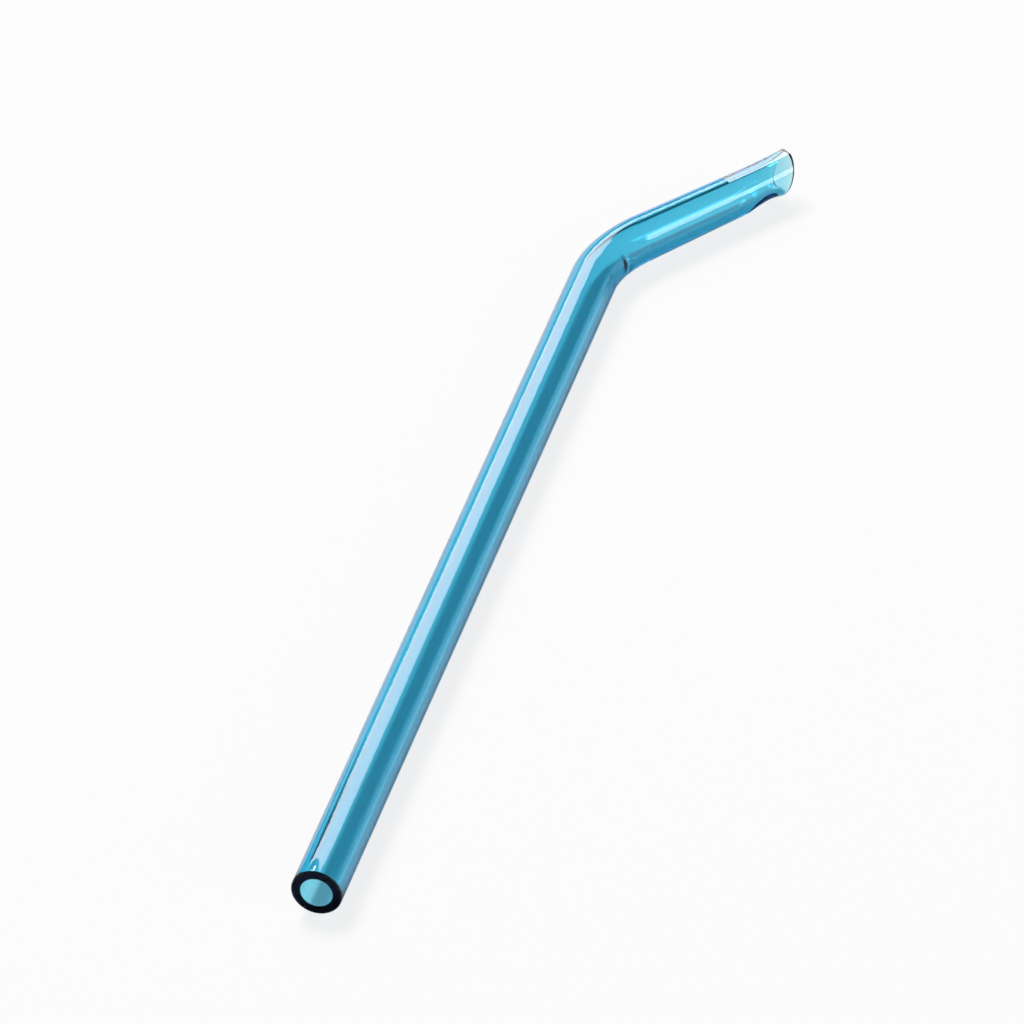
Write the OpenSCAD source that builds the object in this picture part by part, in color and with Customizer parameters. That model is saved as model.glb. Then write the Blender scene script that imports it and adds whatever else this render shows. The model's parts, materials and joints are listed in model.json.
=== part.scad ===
// Saliva ejector tip: one clear blue tube with a straight shank, a bend and a short tapered mouth arm.
// The origin is the centre of the cut face at the hose end. +X runs along the shank towards the mouth.
// The tip lies on its side: +Z is square to the bend, and the mouth arm turns towards -Y.
// The tube is one piece on the real product. Its zones are separate solids here, set face to face.

/* [Tube] */
// Outer diameter of the shank, which plugs into the suction valve
tube_d = 6.5; // [6:0.1:8]
// Bore of the shank
bore_d = 4.1; // [3:0.1:4.8]
// Radius that rounds the outer edge of the hose end
rim_r = 0.2; // [0.1:0.05:0.5]

/* [Shank] */
// Length from the hose end to the corner where the two centre lines cross
shank_len = 143.5; // [100:0.5:180]
// Length of the hose end that seats in the suction valve
seat_len = 25; // [12:1:40]

/* [Bend] */
// Angle that the mouth arm turns away from the shank
bend_angle = 45; // [20:1:70]
// Radius of the bend along its centre line
bend_r = 14.5; // [8:0.5:20]

/* [Mouth arm] */
// Length from the corner to the middle of the mouth opening
arm_len = 28.9; // [26:0.1:45]
// Outer diameter that the tapered arm comes down to at the mouth
mouth_d = 5.75; // [5:0.05:7]
// Bore that the tapered arm comes down to at the mouth
mouth_bore_d = 3.6; // [2.6:0.1:4.4]

/* [Mouth] */
// Length of the flat, back from the middle of the mouth opening
flat_len = 8.7; // [7:0.1:10]
// Depth of the flat pressed into the upper side
flat_depth = 0.13; // [0.05:0.01:0.4]
// Angle that the mouth is cut off square, so that its upper side is the long one
bevel_angle = 25.5; // [0:0.5:35]
// Distance of the deepest point of the pinch from the middle of the mouth opening
pinch_back = 4.1; // [3.8:0.1:5]
// Depth of the pinch pressed into the lower side
pinch_depth = 2.2; // [0.8:0.1:2.4]
// Radius of the round tool that presses the pinch
pinch_r = 4.6; // [4.2:0.1:5.5]

/* [Hidden] */
$fn = 96;
tube_r = tube_d / 2;
bore_r = bore_d / 2;
mouth_r = mouth_d / 2;
mouth_bore_r = mouth_bore_d / 2;
// Distance from the corner to each end of the bend
bend_run = bend_r * tan(bend_angle / 2);
// Places along the arm, measured from the corner
taper_len = arm_len - bend_run;
flat_x = arm_len - flat_len;
pinch_x = arm_len - pinch_back;
// Half angle of the arm's outer cone, and the length that the bevel adds on the upper side
taper_angle = atan((tube_r - mouth_r) / taper_len);
bevel_run = tube_r * tan(bevel_angle);
// Walls that the mouth keeps behind the pinch, and the pinch tool's height below the centre line
mouth_wall = mouth_r - mouth_bore_r;
pinch_z = -(arm_r(pinch_x) - pinch_depth + pinch_r);
// How far a cutter runs past what it cuts
past = 1;

// Outer radius and bore radius of the tapered arm at a distance from the corner
function arm_r(x) = tube_r + (mouth_r - tube_r) * (x - bend_run) / taper_len;
function arm_bore_r(x) = bore_r + (mouth_bore_r - bore_r) * (x - bend_run) / taper_len;

// A solid round bar or cone along +X, from one place to another
module bar(from, to, r_from, r_to) {
    translate([from, 0, 0]) rotate([0, 90, 0]) cylinder(h = to - from, r1 = r_from, r2 = r_to);
}

// A stretch of straight tube along +X
module straight_tube(from, to) {
    difference() {
        bar(from, to, tube_r, tube_r);
        bar(from - past, to + past, bore_r, bore_r);
    }
}

// The outside and the bore of the tapered arm, between two places measured from the corner
module arm_outside(from, to) bar(from, to, arm_r(from), arm_r(to));
module arm_inside(from, to) bar(from, to, arm_bore_r(from), arm_bore_r(to));

// Puts what is modelled along the arm, from the corner, in its place on the part
module on_arm() translate([shank_len, 0, 0]) rotate([0, 0, -bend_angle]) children();

// The round tool of the pinch, grown by a wall where the bore goes round it
module pinch_tool(grow) translate([pinch_x, 0, pinch_z]) sphere(r = pinch_r + grow);

// The end that plugs into the suction valve, with its outer edge rounded
module hose_end() color("#5cc6e6") {
    rotate([90, 0, 90]) rotate_extrude() difference() {
        union() {
            translate([bore_r, rim_r]) square([tube_r - bore_r, seat_len - rim_r]);
            translate([bore_r, 0]) square([tube_r - rim_r - bore_r, rim_r]);
            translate([tube_r - rim_r, rim_r]) circle(r = rim_r);
        }
    }
}

// The straight shank, from the hose end to the bend
module shank() color("#4fbfe2") straight_tube(seat_len, shank_len - bend_run);

// The bend, a sector of a ring
module bend() color("#48b8de") {
    translate([shank_len - bend_run, -bend_r, 0]) rotate([0, 0, 90 - bend_angle])
        rotate_extrude(angle = bend_angle) translate([bend_r, 0]) difference() {
            circle(r = tube_r);
            circle(r = bore_r);
        }
}

// The tapered arm, from the bend to the flat
module arm() color("#4fbfe2") on_arm() difference() {
    arm_outside(bend_run, flat_x);
    arm_inside(bend_run - past, flat_x + past);
}

// The mouth: a flat above, a pinch below and a slanting end
module mouth() color("#5cc6e6") on_arm() difference() {
    arm_outside(flat_x, arm_len + bevel_run);
    translate([flat_x, -tube_d, arm_r(flat_x) - flat_depth]) rotate([0, taper_angle, 0])
        translate([-past, 0, 0]) cube([arm_len, 2 * tube_d, tube_d]);
    translate([arm_len, 0, 0]) rotate([0, bevel_angle, 0]) translate([0, -tube_d, -2 * tube_d])
        cube([arm_len, 2 * tube_d, 4 * tube_d]);
    pinch_tool(0);
    difference() {
        arm_inside(flat_x - past, arm_len + bevel_run + past);
        pinch_tool(mouth_wall);
    }
}

hose_end();
shank();
bend();
arm();
mouth();
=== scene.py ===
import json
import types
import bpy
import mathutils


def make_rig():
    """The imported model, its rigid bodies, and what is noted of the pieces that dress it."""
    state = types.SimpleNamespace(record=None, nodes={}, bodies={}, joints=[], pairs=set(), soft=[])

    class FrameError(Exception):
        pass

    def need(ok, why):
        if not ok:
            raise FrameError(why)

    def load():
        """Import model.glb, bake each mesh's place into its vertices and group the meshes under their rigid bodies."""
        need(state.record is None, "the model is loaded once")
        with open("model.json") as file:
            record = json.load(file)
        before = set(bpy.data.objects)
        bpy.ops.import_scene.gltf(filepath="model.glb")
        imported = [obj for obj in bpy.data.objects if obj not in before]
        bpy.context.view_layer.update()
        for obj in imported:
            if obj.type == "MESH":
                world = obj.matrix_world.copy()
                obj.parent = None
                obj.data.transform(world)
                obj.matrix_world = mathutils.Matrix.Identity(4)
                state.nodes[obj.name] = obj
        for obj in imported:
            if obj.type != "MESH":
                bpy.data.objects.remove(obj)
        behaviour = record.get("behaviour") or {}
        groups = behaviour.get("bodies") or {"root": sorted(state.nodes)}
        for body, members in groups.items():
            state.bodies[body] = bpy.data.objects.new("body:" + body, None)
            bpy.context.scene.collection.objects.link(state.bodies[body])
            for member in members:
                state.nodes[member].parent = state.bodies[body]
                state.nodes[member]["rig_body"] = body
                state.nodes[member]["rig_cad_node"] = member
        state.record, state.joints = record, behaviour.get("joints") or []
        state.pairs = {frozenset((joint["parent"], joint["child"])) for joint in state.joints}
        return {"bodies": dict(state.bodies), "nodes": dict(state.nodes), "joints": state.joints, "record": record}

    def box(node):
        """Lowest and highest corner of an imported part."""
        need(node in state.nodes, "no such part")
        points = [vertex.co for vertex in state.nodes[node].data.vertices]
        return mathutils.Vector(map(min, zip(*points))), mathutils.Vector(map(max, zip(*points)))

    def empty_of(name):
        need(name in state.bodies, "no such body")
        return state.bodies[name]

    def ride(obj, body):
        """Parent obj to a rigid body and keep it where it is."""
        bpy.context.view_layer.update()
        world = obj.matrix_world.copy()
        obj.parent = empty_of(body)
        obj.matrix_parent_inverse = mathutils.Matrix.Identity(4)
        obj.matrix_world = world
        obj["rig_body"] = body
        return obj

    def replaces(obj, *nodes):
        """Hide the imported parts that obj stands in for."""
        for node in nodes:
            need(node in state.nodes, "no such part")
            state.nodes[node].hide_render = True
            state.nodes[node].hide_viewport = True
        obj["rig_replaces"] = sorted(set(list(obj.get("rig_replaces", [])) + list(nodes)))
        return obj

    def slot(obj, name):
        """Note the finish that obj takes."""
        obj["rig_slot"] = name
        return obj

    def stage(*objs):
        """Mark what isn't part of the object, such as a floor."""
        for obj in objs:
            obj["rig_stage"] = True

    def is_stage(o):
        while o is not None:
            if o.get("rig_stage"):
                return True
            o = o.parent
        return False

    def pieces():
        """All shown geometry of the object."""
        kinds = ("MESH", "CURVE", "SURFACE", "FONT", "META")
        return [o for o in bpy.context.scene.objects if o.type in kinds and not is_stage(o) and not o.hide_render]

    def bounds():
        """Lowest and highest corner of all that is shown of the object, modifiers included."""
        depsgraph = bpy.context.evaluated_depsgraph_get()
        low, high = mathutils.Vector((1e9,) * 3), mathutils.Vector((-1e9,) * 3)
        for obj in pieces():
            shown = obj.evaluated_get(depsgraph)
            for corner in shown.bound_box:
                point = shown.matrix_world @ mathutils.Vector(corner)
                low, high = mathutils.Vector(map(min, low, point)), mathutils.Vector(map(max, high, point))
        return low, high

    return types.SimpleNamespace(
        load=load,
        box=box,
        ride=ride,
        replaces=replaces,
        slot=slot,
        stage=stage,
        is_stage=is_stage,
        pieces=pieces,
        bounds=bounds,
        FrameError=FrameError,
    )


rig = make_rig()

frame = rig.load()

import json
import math

import bmesh
import bpy
from mathutils import Matrix, Vector
from mathutils.bvhtree import BVHTree

# The looks of a clear blue saliva ejector tip: one clear tube with a straight shank, a bend and a short
# tapered mouth arm. Everything is in metres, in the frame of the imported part, with the origin at the hose end.

MM = 0.001
CAD_BOX = [list(corner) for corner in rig.bounds()]

# ---------------------------------------------------------------- sizes, from the frame or the part's source
MOUNTS = {mount["name"]: mount for mount in frame["record"]["mounts"]}
TUBE_R = MOUNTS["hose_end"]["dims"]["r_mm"] * MM
BORE_R = MOUNTS["suction_bore"]["dims"]["r_mm"] * MM
STRAIGHT = MOUNTS["suction_bore"]["dims"]["length_mm"] * MM
BEND_ANGLE = math.radians(45.0)
BEND_R = (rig.box("bend")[1].x - STRAIGHT) / math.sin(BEND_ANGLE) - TUBE_R
BEND_RUN = BEND_R * math.tan(BEND_ANGLE / 2)
ARM_LEN = 28.9 * MM
MOUTH_R = 2.875 * MM
MOUTH_BORE_R = 1.8 * MM
FLAT_X = ARM_LEN - 8.7 * MM
FLAT_DEPTH = 0.13 * MM
BEVEL_SLOPE = math.tan(math.radians(25.5))
PINCH_X = ARM_LEN - 4.0 * MM
# The wall is pressed in softly here. The part's source has a plain round hollow instead, which is deeper.
PINCH_DEPTH = 0.9 * MM
PINCH_REACH = 3.3 * MM
# The soft wall folds in a little on the inner side of the bend.
FOLD_DEPTH = 0.13 * MM
FOLD_HALF = 0.6 * MM
# The bore widens to a thin lip at the mouth.
LIP_LEN = 2.6 * MM
LIP_THINNING = 0.55 * MM
# The mouth's end is bent up a little. The part's source leaves this out, and the fold and the lip too.
LIFT_X = 22.5 * MM
LIFT = 0.236 * MM
RIM_ROUND = 0.2 * MM
FINE_ROUND = 0.07 * MM
FLOOR_Z = -TUBE_R
BEND_CENTRE = Vector((STRAIGHT, -BEND_R, 0))

# The arm's own axes, from the corner where the centre lines cross: along it, and to the outside of the bend
CORNER = Vector((STRAIGHT + BEND_RUN, 0, 0))
ARM_DIR = Vector((math.cos(BEND_ANGLE), -math.sin(BEND_ANGLE), 0))
ARM_OUT = Vector((math.sin(BEND_ANGLE), math.cos(BEND_ANGLE), 0))
UP = Vector((0, 0, 1))

# ---------------------------------------------------------------- fineness of the tube's mesh
SIDES = 132
FLAT_COLUMNS = 6
SHANK_RINGS = 48
BEND_RINGS = 36
ARM_RINGS = 24
MOUTH_RINGS = 76
STEP = 0.03 * MM
ROUNDING_DEGREES = 10
RIM_CLEARANCE = 1.1 * FINE_ROUND
SETTLING_ROUNDS = 4
CREASE = math.radians(14.0)

# ---------------------------------------------------------------- image points, in the photograph's frame
PHOTO_W, PHOTO_H = 1024, 1024
IMAGE_POINTS = {
    "object_left": (291.0, None),
    "object_right": (795.5, None),
    "object_top": (None, 149.0),
    "object_bottom": (None, 914.0),
    "hose_ring": (316.0, 892.6),
    "bore_mouth": (315.3, 894.1),
    "shank_left": (420.8, 600.0),
    "shank_right": (476.4, 600.0),
    "bend_inside": (621.0, 281.0),
    "arm_top": (700.0, 186.4),
    "arm_bottom": (700.0, 237.1),
    "flat_start_far": (722.0, 179.0),
    "flat_start_near": (728.0, 185.0),
    "flat_end_far": (784.5, 150.0),
    "flat_end_near": (791.0, 155.2),
    "mouth_bottom": (785.0, 193.8),
}

# ---------------------------------------------------------------- camera
CAM_AIM = Vector((81.95, -3.23, 0.0)) * MM
CAM_DISTANCE = 1.030
CAM_AZIMUTH = math.radians(21.44)
CAM_ELEVATION = math.radians(32.56)
CAM_ROLL = math.radians(-12.0)
CAM_SENSOR = 36.0
CAM_LENS = 279.1
CAM_CLIP_END = 20.0


def toward(azimuth, elevation):
    """The direction of a place seen from the object at this azimuth and height, in degrees."""
    turn, rise = math.radians(azimuth), math.radians(elevation)
    return Vector((math.cos(rise) * math.cos(turn), math.cos(rise) * math.sin(turn), math.sin(rise)))


def add_object(name, data):
    """A new object in the scene that shows these data."""
    made = bpy.data.objects.new(name, data)
    bpy.context.scene.collection.objects.link(made)
    return made


def add_camera():
    """The camera at the photograph's viewing angle: far off, with a long lens, and turned a little sideways."""
    forward = Vector((math.cos(CAM_ELEVATION) * math.cos(CAM_AZIMUTH),
                      math.cos(CAM_ELEVATION) * math.sin(CAM_AZIMUTH),
                      -math.sin(CAM_ELEVATION)))
    level = forward.cross(UP).normalized()
    right = level * math.cos(CAM_ROLL) + level.cross(forward) * math.sin(CAM_ROLL)
    up = right.cross(forward)
    data = bpy.data.cameras.new("camera")
    data.lens = CAM_LENS
    data.sensor_width = CAM_SENSOR
    data.clip_end = CAM_CLIP_END
    camera = add_object("camera", data)
    turn = Matrix((right, up, -forward)).transposed().to_4x4()
    camera.matrix_world = Matrix.Translation(CAM_AIM - forward * CAM_DISTANCE) @ turn
    bpy.context.scene.camera = camera
    return camera


# ---------------------------------------------------------------- node helpers
def add_node(tree, kind, inputs=None, **settings):
    """Adds a node with its settings; an input is given a value, or linked when it is given a socket."""
    made = tree.nodes.new(kind)
    for name, value in settings.items():
        setattr(made, name, value)
    for name, value in (inputs or {}).items():
        if isinstance(value, bpy.types.NodeSocket):
            tree.links.new(value, made.inputs[name])
        else:
            made.inputs[name].default_value = value
    return made


def new_material(name):
    """A material whose node tree is still empty."""
    material = bpy.data.materials.new(name)
    material.use_nodes = True
    material.node_tree.nodes.clear()
    return material


# ---------------------------------------------------------------- the tube's skins, swept by Geometry Nodes
def wall_tree():
    """Sweeps a ring along the object's line, once for the outside and once for the bore.

    Past the taper's start both radii run down evenly to those of the mouth."""
    tree = bpy.data.node_groups.new("tube_wall", "GeometryNodeTree")
    tree.is_modifier = True
    sizes = ("Taper start", "Line length", "Tube radius", "Mouth radius", "Bore radius", "Mouth bore radius")
    tree.interface.new_socket("Geometry", in_out="INPUT", socket_type="NodeSocketGeometry")
    for name in sizes:
        tree.interface.new_socket(name, in_out="INPUT", socket_type="NodeSocketFloat")
    tree.interface.new_socket("Sides", in_out="INPUT", socket_type="NodeSocketInt")
    tree.interface.new_socket("Material", in_out="INPUT", socket_type="NodeSocketMaterial")
    tree.interface.new_socket("Geometry", in_out="OUTPUT", socket_type="NodeSocketGeometry")
    given = add_node(tree, "NodeGroupInput").outputs

    length = add_node(tree, "GeometryNodeSplineParameter").outputs["Length"]
    line = add_node(tree, "GeometryNodeStoreNamedAttribute",
                    {"Geometry": given["Geometry"], "Name": "along", "Value": length}).outputs["Geometry"]
    ring = add_node(tree, "GeometryNodeCurvePrimitiveCircle", {"Resolution": given["Sides"], "Radius": 1.0})
    place = add_node(tree, "GeometryNodeInputPosition").outputs["Position"]
    ring = add_node(tree, "GeometryNodeStoreNamedAttribute",
                    {"Geometry": ring.outputs["Curve"], "Name": "around", "Value": place},
                    data_type="FLOAT_VECTOR").outputs["Geometry"]

    def skin(start_radius, end_radius, is_bore):
        radius = add_node(tree, "ShaderNodeMapRange",
                          {"Value": length, "From Min": given["Taper start"], "From Max": given["Line length"],
                           "To Min": given[start_radius], "To Max": given[end_radius]}).outputs["Result"]
        swept = add_node(tree, "GeometryNodeCurveToMesh",
                         {"Curve": line, "Profile Curve": ring, "Scale": radius}).outputs["Mesh"]
        marked = add_node(tree, "GeometryNodeStoreNamedAttribute",
                          {"Geometry": swept, "Name": "in_bore", "Value": is_bore})
        return marked.outputs["Geometry"]

    bore = add_node(tree, "GeometryNodeFlipFaces", {"Mesh": skin("Bore radius", "Mouth bore radius", 1.0)})
    both = add_node(tree, "GeometryNodeJoinGeometry")
    tree.links.new(bore.outputs["Mesh"], both.inputs["Geometry"])
    tree.links.new(skin("Tube radius", "Mouth radius", 0.0), both.inputs["Geometry"])
    real = add_node(tree, "GeometryNodeRealizeInstances", {"Geometry": both.outputs["Geometry"]})
    done = add_node(tree, "GeometryNodeSetMaterial",
                    {"Geometry": real.outputs["Geometry"], "Material": given["Material"]})
    add_node(tree, "NodeGroupOutput", {"Geometry": done.outputs["Geometry"]})
    return tree


def rounding(radius):
    """Distances from a rim at which rings carry its rounding, evenly turned over a quarter circle."""
    angles = range(ROUNDING_DEGREES, 91, ROUNDING_DEGREES)
    return [radius * (1 - math.cos(math.radians(angle))) for angle in angles]


def even(start, end, count):
    """Evenly spaced places after the start, up to and with the end."""
    return [start + (end - start) * k / count for k in range(1, count + 1)]


def centre_line():
    """The points of the tube's centre line, from the hose end round the bend to the mouth."""
    rim = sorted([0.0] + rounding(RIM_ROUND) + rounding(FINE_ROUND))
    points = [Vector((x, 0, 0)) for x in rim + even(RIM_ROUND, STRAIGHT, SHANK_RINGS)]
    for turn in even(0.0, BEND_ANGLE, BEND_RINGS):
        points.append(BEND_CENTRE + Vector((math.sin(turn), math.cos(turn), 0)) * BEND_R)
    arm = even(BEND_RUN, FLAT_X, ARM_RINGS) + [FLAT_X + STEP]
    arm += even(FLAT_X + STEP, ARM_LEN - RIM_CLEARANCE, MOUTH_RINGS)
    arm += sorted(ARM_LEN - d for d in [0.0] + rounding(FINE_ROUND))
    points += [CORNER + ARM_DIR * x for x in arm]
    return points


def sweep_skins(material):
    """The outside and the bore as plain round skins, still open at both ends."""
    points = centre_line()
    data = bpy.data.curves.new("tube_line", "CURVE")
    data.dimensions = "3D"
    data.twist_mode = "Z_UP"
    spline = data.splines.new("POLY")
    spline.points.add(len(points) - 1)
    for point, place in zip(spline.points, points):
        point.co = (*place, 1.0)
    line = add_object("tube_line", data)
    tree = wall_tree()
    sweep = line.modifiers.new("wall", "NODES")
    sweep.node_group = tree
    line_length = sum((b - a).length for a, b in zip(points, points[1:]))
    values = {"Taper start": line_length - (ARM_LEN - BEND_RUN), "Line length": line_length,
              "Tube radius": TUBE_R, "Mouth radius": MOUTH_R, "Bore radius": BORE_R,
              "Mouth bore radius": MOUTH_BORE_R, "Sides": SIDES, "Material": material}
    for item in tree.interface.items_tree:
        if item.in_out == "INPUT" and item.name in values:
            sweep[item.identifier] = values[item.name]
    depsgraph = bpy.context.evaluated_depsgraph_get()
    mesh = bpy.data.meshes.new_from_object(line.evaluated_get(depsgraph), depsgraph=depsgraph)
    bpy.data.objects.remove(line)
    return mesh


# ---------------------------------------------------------------- forming the mouth and the rims
def arm_radius(x, is_bore):
    """Radius of the tapered arm's outside or bore at a distance from the corner."""
    start, end = (BORE_R, MOUTH_BORE_R) if is_bore else (TUBE_R, MOUTH_R)
    return start + (end - start) * (x - BEND_RUN) / (ARM_LEN - BEND_RUN)


def rounded(radius, edge_distance, round_r, is_bore):
    """The radius near a rim: the outside turns in towards the cut face, and the bore turns out."""
    if edge_distance >= round_r:
        return radius
    fall = round_r - math.sqrt(max(round_r ** 2 - (round_r - edge_distance) ** 2, 0.0))
    return radius + fall if is_bore else radius - fall


def pinched(x, side, height):
    """Height of a point of the mouth after the lower side is pressed in, softly and most at the bottom."""
    reach = (x - PINCH_X) / PINCH_REACH
    if abs(reach) >= 1 or height >= 0:
        return height
    share = math.cos(math.pi / 2 * reach) ** 2
    return height + PINCH_DEPTH * share * (height / math.hypot(side, height)) ** 2


def flat_angles(angle, radius):
    """Moves a column of the mesh so that one runs exactly along each edge of the flat.

    The angle is measured from straight up. Returns the new angle and whether it is on the flat."""
    even_edge = FLAT_COLUMNS * 2 * math.pi / SIDES
    edge = math.acos(1 - FLAT_DEPTH / radius)
    size = abs(angle)
    if size <= even_edge + 1e-6:
        return angle * edge / even_edge, True
    moved = edge + (size - even_edge) * (math.pi - edge) / (math.pi - even_edge)
    return math.copysign(moved, angle), False


def mouth_point(x, angle, is_bore):
    """Where a point of the round arm goes, from its distance along the arm and its angle from straight up.

    The slant moves a point along the arm, where the arm has another radius, so its place settles in rounds."""
    end_gap = ARM_LEN - x
    place = Vector((x, 0, 0))
    for _ in range(SETTLING_ROUNDS):
        along = place.x
        radius = rounded(arm_radius(along, is_bore), end_gap, FINE_ROUND, is_bore)
        if is_bore:
            radius += LIP_THINNING * max(1 - end_gap / LIP_LEN, 0.0) ** 2
        turn, on_flat = angle, False
        if not is_bore:
            turn, on_flat = flat_angles(angle, arm_radius(along, False))
        reach = radius
        if on_flat:
            reach = (radius - FLAT_DEPTH) / math.cos(turn)
        side, height = reach * math.sin(turn), reach * math.cos(turn)
        height = pinched(along, side, height)
        end = ARM_LEN + BEVEL_SLOPE * height
        along = FLAT_X + (x - FLAT_X) * (end - FLAT_X) / (ARM_LEN - FLAT_X)
        place = Vector((along, side, height))
    place.z += LIFT * (max(place.x - LIFT_X, 0.0) / (ARM_LEN - LIFT_X)) ** 2
    return place


def folded(place):
    """Where a point of the bend goes: the inner side folds in at the middle and swells beside the fold."""
    from_centre = place - BEND_CENTRE
    turn = math.atan2(from_centre.x, from_centre.y)
    out = Vector((math.sin(turn), math.cos(turn), 0))
    spoke = from_centre - out * BEND_R
    inner = max(-spoke.dot(out) / spoke.length, 0.0)
    across = (turn - BEND_ANGLE / 2) * (BEND_R - TUBE_R) / FOLD_HALF
    depth = FOLD_DEPTH * inner ** 4 * (1 - across ** 2) * math.exp(-across ** 2)
    return place - spoke.normalized() * depth


def form_wall(mesh):
    """Folds the bend, presses the flat and the pinch, slants the mouth and rounds the skins' rims."""
    in_bore = mesh.attributes["in_bore"].data
    for vertex in mesh.vertices:
        is_bore = in_bore[vertex.index].value > 0.5
        place = vertex.co.copy()
        from_corner = place - CORNER
        x = from_corner.dot(ARM_DIR)
        if place.x < RIM_ROUND:
            spoke = Vector((0, place.y, place.z))
            round_r = FINE_ROUND if is_bore else RIM_ROUND
            spoke *= rounded(spoke.length, place.x, round_r, is_bore) / spoke.length
            vertex.co = Vector((place.x, spoke.y, spoke.z))
        elif place.x > STRAIGHT and x < BEND_RUN:
            vertex.co = folded(place)
        elif x > FLAT_X + STEP / 2:
            angle = math.atan2(from_corner.dot(ARM_OUT), place.z)
            along, side, height = mouth_point(x, angle, is_bore)
            vertex.co = CORNER + ARM_DIR * along + ARM_OUT * side + UP * height


def close_rims(mesh):
    """Joins the two skins by a cut face at each end and marks the faces of the one at the hose end, whose reflections
    the plastic darkens with painted shade.
    """
    solid = bmesh.new()
    solid.from_mesh(mesh)
    cut_face = solid.faces.layers.float.new("cut_face")
    open_edges = [edge for edge in solid.edges if edge.is_boundary]
    for at_hose in (True, False):
        rim = [edge for edge in open_edges if (edge.verts[0].co.x < CORNER.x / 2) == at_hose]
        for face in bmesh.ops.bridge_loops(solid, edges=rim)["faces"]:
            face[cut_face] = 1.0 if at_hose else 0.0
    bmesh.ops.recalc_face_normals(solid, faces=solid.faces)
    for face in solid.faces:
        face.smooth = True
    for edge in solid.edges:
        edge.smooth = edge.calc_face_angle(0.0) < CREASE
    solid.to_mesh(mesh)
    solid.free()


def make_tube(material):
    """The whole tube as one closed piece, so that no wall inside the clear plastic shows where zones meet."""
    mesh = sweep_skins(material)
    form_wall(mesh)
    close_rims(mesh)
    mesh.name = "ejector_tube"
    tube = add_object("ejector_tube", mesh)
    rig.replaces(tube, "hose_end", "shank", "bend", "arm", "mouth")
    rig.slot(tube, "blue_tube")
    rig.ride(tube, "root")
    return tube


# ---------------------------------------------------------------- materials
WHITE = (1.0, 1.0, 1.0, 1.0)
PLASTIC_IOR = 1.5
TINT = (0.02, 0.81, 0.94, 1.0)
TINT_DENSITY = 1000.0
# Painted shade: this dark blue specular tint on the hose end's cut face darkens what the ring mirrors, in place of
# shade from the light.
CUT_FACE_PAINTED_SHADE = (0.0, 0.08, 0.40, 1.0)
# Faint die lines: how fine they are round the tube and along it, and how high
LINES_AROUND = 5.0
LINES_ALONG = 14.0
LINES_HEIGHT = 0.012 * MM
LINES_DETAIL = 3.0


def blue_plastic():
    """Clear plastic tinted through: what light loses depends on how far it runs in the wall. The cut face at the hose
    end mirrors through a dark blue tint, which is painted shade.
    """
    material = new_material("clear_blue_plastic")
    tree = material.node_tree
    cut = add_node(tree, "ShaderNodeAttribute", attribute_name="cut_face").outputs["Fac"]
    # Painted shade: the hose end's cut face mirrors through a dark blue tint instead of white.
    gloss_with_painted_shade = add_node(tree, "ShaderNodeMix", {0: cut, 6: WHITE, 7: CUT_FACE_PAINTED_SHADE}, data_type="RGBA")
    around = add_node(tree, "ShaderNodeAttribute", attribute_name="around").outputs["Vector"]
    along = add_node(tree, "ShaderNodeAttribute", attribute_name="along").outputs["Fac"]
    stretch = add_node(tree, "ShaderNodeMath",
                       {0: along, 1: LINES_ALONG / LINES_AROUND}, operation="MULTIPLY")
    drawn = add_node(tree, "ShaderNodeCombineXYZ", {"Z": stretch.outputs[0]})
    spot = add_node(tree, "ShaderNodeVectorMath", {0: around, 1: drawn.outputs[0]}, operation="ADD")
    lines = add_node(tree, "ShaderNodeTexNoise",
                     {"Vector": spot.outputs[0], "Scale": LINES_AROUND, "Detail": LINES_DETAIL})
    bump = add_node(tree, "ShaderNodeBump", {"Height": lines.outputs["Fac"], "Distance": LINES_HEIGHT})
    shader = add_node(tree, "ShaderNodeBsdfPrincipled",
                      {"Base Color": WHITE, "Roughness": 0.0, "IOR": PLASTIC_IOR,
                       "Transmission Weight": 1.0, "Specular Tint": gloss_with_painted_shade.outputs[2],
                       "Normal": bump.outputs["Normal"]})
    tint = add_node(tree, "ShaderNodeVolumeAbsorption", {"Color": TINT, "Density": TINT_DENSITY})
    add_node(tree, "ShaderNodeOutputMaterial",
             {"Surface": shader.outputs["BSDF"], "Volume": tint.outputs["Volume"]})
    return material


FLOOR_COLOUR = (0.88, 0.88, 0.90, 1.0)
# Share of plain white in what each kind of ray sees of the floor; the rest keeps the tube's shadow
FLOOR_WHITE = {"Is Camera Ray": 0.82, "Is Glossy Ray": 0.10, "Is Transmission Ray": 0.24}


def floor_paint():
    """Plain pale floor. What the camera, glossy rays and clear plastic see of it is partly lifted to white."""
    material = new_material("floor_paint")
    tree = material.node_tree
    rays = add_node(tree, "ShaderNodeLightPath").outputs
    white = 0.0
    for kind, share in FLOOR_WHITE.items():
        white = add_node(tree, "ShaderNodeMath", {0: rays[kind], 1: share, 2: white},
                         operation="MULTIPLY_ADD").outputs[0]
    matt = add_node(tree, "ShaderNodeBsdfDiffuse", {"Color": FLOOR_COLOUR})
    glow = add_node(tree, "ShaderNodeEmission", {"Color": WHITE, "Strength": 1.0})
    both = add_node(tree, "ShaderNodeMixShader", {0: white, 1: matt.outputs[0], 2: glow.outputs[0]})
    add_node(tree, "ShaderNodeOutputMaterial", {"Surface": both.outputs[0]})
    return material


def backdrop_paper():
    """Plain white that shines by itself."""
    material = new_material("backdrop_paper")
    tree = material.node_tree
    glow = add_node(tree, "ShaderNodeEmission", {"Color": WHITE, "Strength": 1.0})
    add_node(tree, "ShaderNodeOutputMaterial", {"Surface": glow.outputs[0]})
    return material


# ---------------------------------------------------------------- floor, lamps and world
FLOOR_HALF = 4.0
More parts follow.
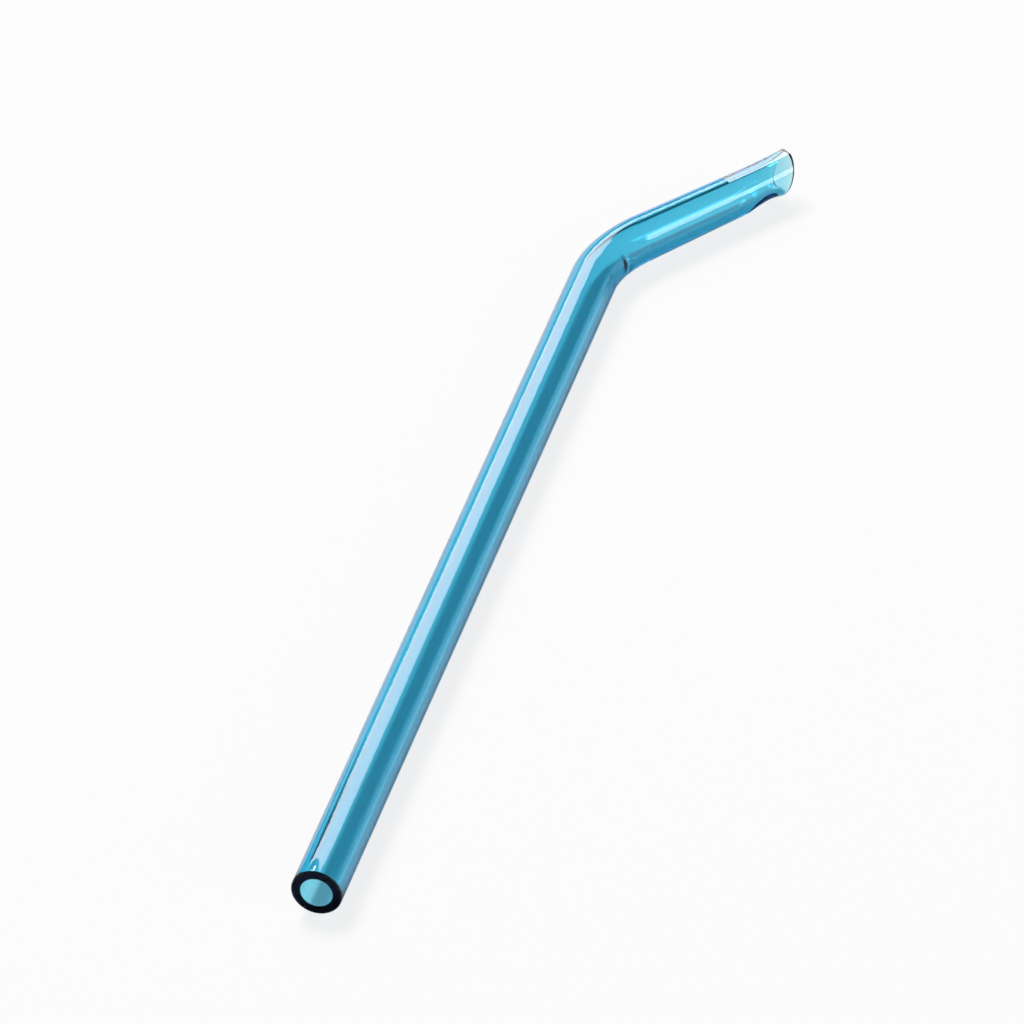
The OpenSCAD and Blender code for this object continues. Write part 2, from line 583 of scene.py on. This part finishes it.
# The white board behind the tube: where its middle stands, and how wide and high it looks from the tube
BOARD_AZIMUTH = 18.0
BOARD_DISTANCE = 3.0
BOARD_WIDTH = 46.0
BOARD_HEIGHT = 13.0
LAMP_DISTANCE = 8.0
WORLD_STRENGTH = 0.10
LAMPS = (
    # name, azimuth, elevation, turn, width, height in degrees, brightness where 1 is white,
    # colour, and whether it is seen through the clear plastic as well as mirrored in it
    ("back_softbox", 14.6, 35.4, -32.3, 41.0, 9.4, 5.5, (1.0, 0.82, 0.80), False),
    ("side_softbox", -113.0, 22.0, 0.0, 12.0, 22.0, 6.5, (1.0, 0.93, 0.92), True),
    ("key_softbox", 34.0, 52.0, 0.0, 24.0, 20.0, 20.0, (1.0, 1.0, 1.0), True),
)


def add_backdrop():
    """A white board that stands upright on the floor, behind the tube as the camera sees it."""
    low, high = (CAM_AIM + toward(BOARD_AZIMUTH, rise) * BOARD_DISTANCE for rise in (0.0, BOARD_HEIGHT))
    low.z, height = FLOOR_Z, high.z
    side = toward(BOARD_AZIMUTH + 90.0, 0.0) * BOARD_DISTANCE * math.tan(math.radians(BOARD_WIDTH) / 2)
    mesh = bpy.data.meshes.new("backdrop")
    corners = [low - side, low + side, low + side + UP * height, low - side + UP * height]
    mesh.from_pydata(corners, [], [(0, 1, 2, 3)])
    mesh.materials.append(backdrop_paper())
    backdrop = add_object("backdrop", mesh)
    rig.stage(backdrop)


def add_floor():
    """A plain floor under the tube, wide enough to fill every view."""
    shape = bmesh.new()
    bmesh.ops.create_grid(shape, x_segments=1, y_segments=1, size=FLOOR_HALF)
    bmesh.ops.translate(shape, verts=shape.verts, vec=Vector((0, 0, FLOOR_Z)))
    mesh = bpy.data.meshes.new("floor")
    shape.to_mesh(mesh)
    shape.free()
    mesh.materials.append(floor_paint())
    floor = add_object("floor", mesh)
    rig.stage(floor)


def add_lamp(name, azimuth, elevation, turn, width, height, brightness, colour, seen_through):
    """A softbox that faces the middle of the tube, as wide and high as those angles look from there."""
    data = bpy.data.lights.new(name, "AREA")
    data.shape = "RECTANGLE"
    data.size, data.size_y = (2 * LAMP_DISTANCE * math.tan(math.radians(a) / 2) for a in (width, height))
    data.energy = brightness * math.pi * data.size * data.size_y
    data.color = colour
    lamp = add_object(name, data)
    away = toward(azimuth, elevation)
    facing = away.to_track_quat("Z", "Y").to_matrix().to_4x4()
    lamp.matrix_world = (Matrix.Translation(CAM_AIM + away * LAMP_DISTANCE) @ facing
                         @ Matrix.Rotation(math.radians(turn), 4, "Z"))
    lamp.visible_camera = False
    lamp.visible_transmission = seen_through


def add_world():
    """Plain pale surroundings, white where the camera looks past the floor."""
    world = bpy.data.worlds.new("studio")
    world.use_nodes = True
    tree = world.node_tree
    tree.nodes.clear()
    camera_ray = add_node(tree, "ShaderNodeLightPath").outputs["Is Camera Ray"]
    strength = add_node(tree, "ShaderNodeMapRange",
                        {"Value": camera_ray, "To Min": WORLD_STRENGTH, "To Max": 1.0}).outputs["Result"]
    glow = add_node(tree, "ShaderNodeBackground", {"Color": WHITE, "Strength": strength})
    add_node(tree, "ShaderNodeOutputWorld", {"Surface": glow.outputs[0]})
    bpy.context.scene.world = world


# ---------------------------------------------------------------- the image points
def image_place(camera, place):
    """Where a place in the scene shows, in the photograph's frame."""
    seen = camera.matrix_world.inverted() @ place
    scale = max(PHOTO_W, PHOTO_H) * camera.data.lens / camera.data.sensor_width / -seen.z
    shift = max(PHOTO_W, PHOTO_H)
    return Vector((PHOTO_W / 2 - camera.data.shift_x * shift + seen.x * scale,
                   PHOTO_H / 2 + camera.data.shift_y * shift - seen.y * scale))


def surface_place(camera, tree, x, y):
    """The place on a finished surface that shows at an image point, or the one nearest the ray on a miss."""
    longest = max(PHOTO_W, PHOTO_H)
    ray = Vector((x - PHOTO_W / 2 + camera.data.shift_x * longest,
                  PHOTO_H / 2 - y + camera.data.shift_y * longest,
                  -longest * camera.data.lens / camera.data.sensor_width))
    start = camera.matrix_world.translation
    aim = (camera.matrix_world.to_3x3() @ ray).normalized()
    hit = tree.ray_cast(start, aim)[0]
    if hit is None:
        hit = tree.find_nearest(start + aim * (CAM_AIM - start).dot(aim))[0]
    return hit


def outline_crossings(seen, edges, axis, value):
    """Where the finished edges cross an image row (axis 1) or column (axis 0), along the other axis."""
    found = []
    for a, b in edges:
        low, high = seen[a][axis] - value, seen[b][axis] - value
        if low * high < 0:
            found.append(seen[a].lerp(seen[b], low / (low - high))[1 - axis])
    return found


def middle(camera, places):
    """The middle of the box that these places fill in the image."""
    shown = [image_place(camera, place) for place in places]
    return [(min(s[k] for s in shown) + max(s[k] for s in shown)) / 2 for k in (0, 1)]


def flat_corner(camera, x, side):
    """Where a corner of the flat shows: at its start, or past that at the slanting end."""
    radius = arm_radius(x, False)
    edge = side * radius * math.sin(math.acos(1 - FLAT_DEPTH / radius))
    height = radius - FLAT_DEPTH
    if x > FLAT_X:
        x = ARM_LEN + BEVEL_SLOPE * height
    return image_place(camera, CORNER + ARM_DIR * x + ARM_OUT * edge + UP * height)


def measure_points(camera, tube):
    """How far in x and y each thing shows from its image point."""
    seen = [image_place(camera, vertex.co) for vertex in tube.data.vertices]
    edges = [tuple(edge.vertices) for edge in tube.data.edges]
    tree = BVHTree.FromPolygons([vertex.co for vertex in tube.data.vertices],
                                [face.vertices for face in tube.data.polygons])
    rim = [v for v in tube.data.vertices if v.co.x < STEP]
    half = (TUBE_R + BORE_R) / 2
    shown = {
        "object_left": (min(s.x for s in seen), None),
        "object_right": (max(s.x for s in seen), None),
        "object_top": (None, min(s.y for s in seen)),
        "object_bottom": (None, max(s.y for s in seen)),
        "hose_ring": middle(camera, [v.co for v in rim if v.co.yz.length > half]),
        "bore_mouth": middle(camera, [v.co for v in rim if v.co.yz.length < half]),
        "flat_start_far": flat_corner(camera, FLAT_X, 1),
        "flat_start_near": flat_corner(camera, FLAT_X, -1),
        "flat_end_far": flat_corner(camera, ARM_LEN, 1),
        "flat_end_near": flat_corner(camera, ARM_LEN, -1),
    }
    for name, pick in (("shank_left", min), ("shank_right", max)):
        y = IMAGE_POINTS[name][1]
        shown[name] = (pick(outline_crossings(seen, edges, 1, y)), y)
    for name, pick in (("bend_inside", max), ("arm_top", min), ("arm_bottom", max), ("mouth_bottom", max)):
        x = IMAGE_POINTS[name][0]
        shown[name] = (x, pick(outline_crossings(seen, edges, 0, x)))
    report = {}
    for name, point in IMAGE_POINTS.items():
        report[name] = [None if want is None else round(got - want, 2) for want, got in zip(point, shown[name])]
    hit = surface_place(camera, tree, *IMAGE_POINTS["flat_start_near"])
    report["flat_start_on_surface_mm"] = round((hit - CORNER).dot(ARM_DIR) / MM, 2)
    with open("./points.json", "w") as out:
        json.dump(report, out, indent=1)


bpy.context.scene.view_settings.view_transform = "Standard"
camera = add_camera()
tube = make_tube(blue_plastic())
add_floor()
add_backdrop()
for lamp in LAMPS:
    add_lamp(*lamp)
add_world()
measure_points(camera, tube)
with open("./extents.json", "w") as out:
    json.dump({"cad": CAD_BOX, "visual": [list(corner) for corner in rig.bounds()]}, out)
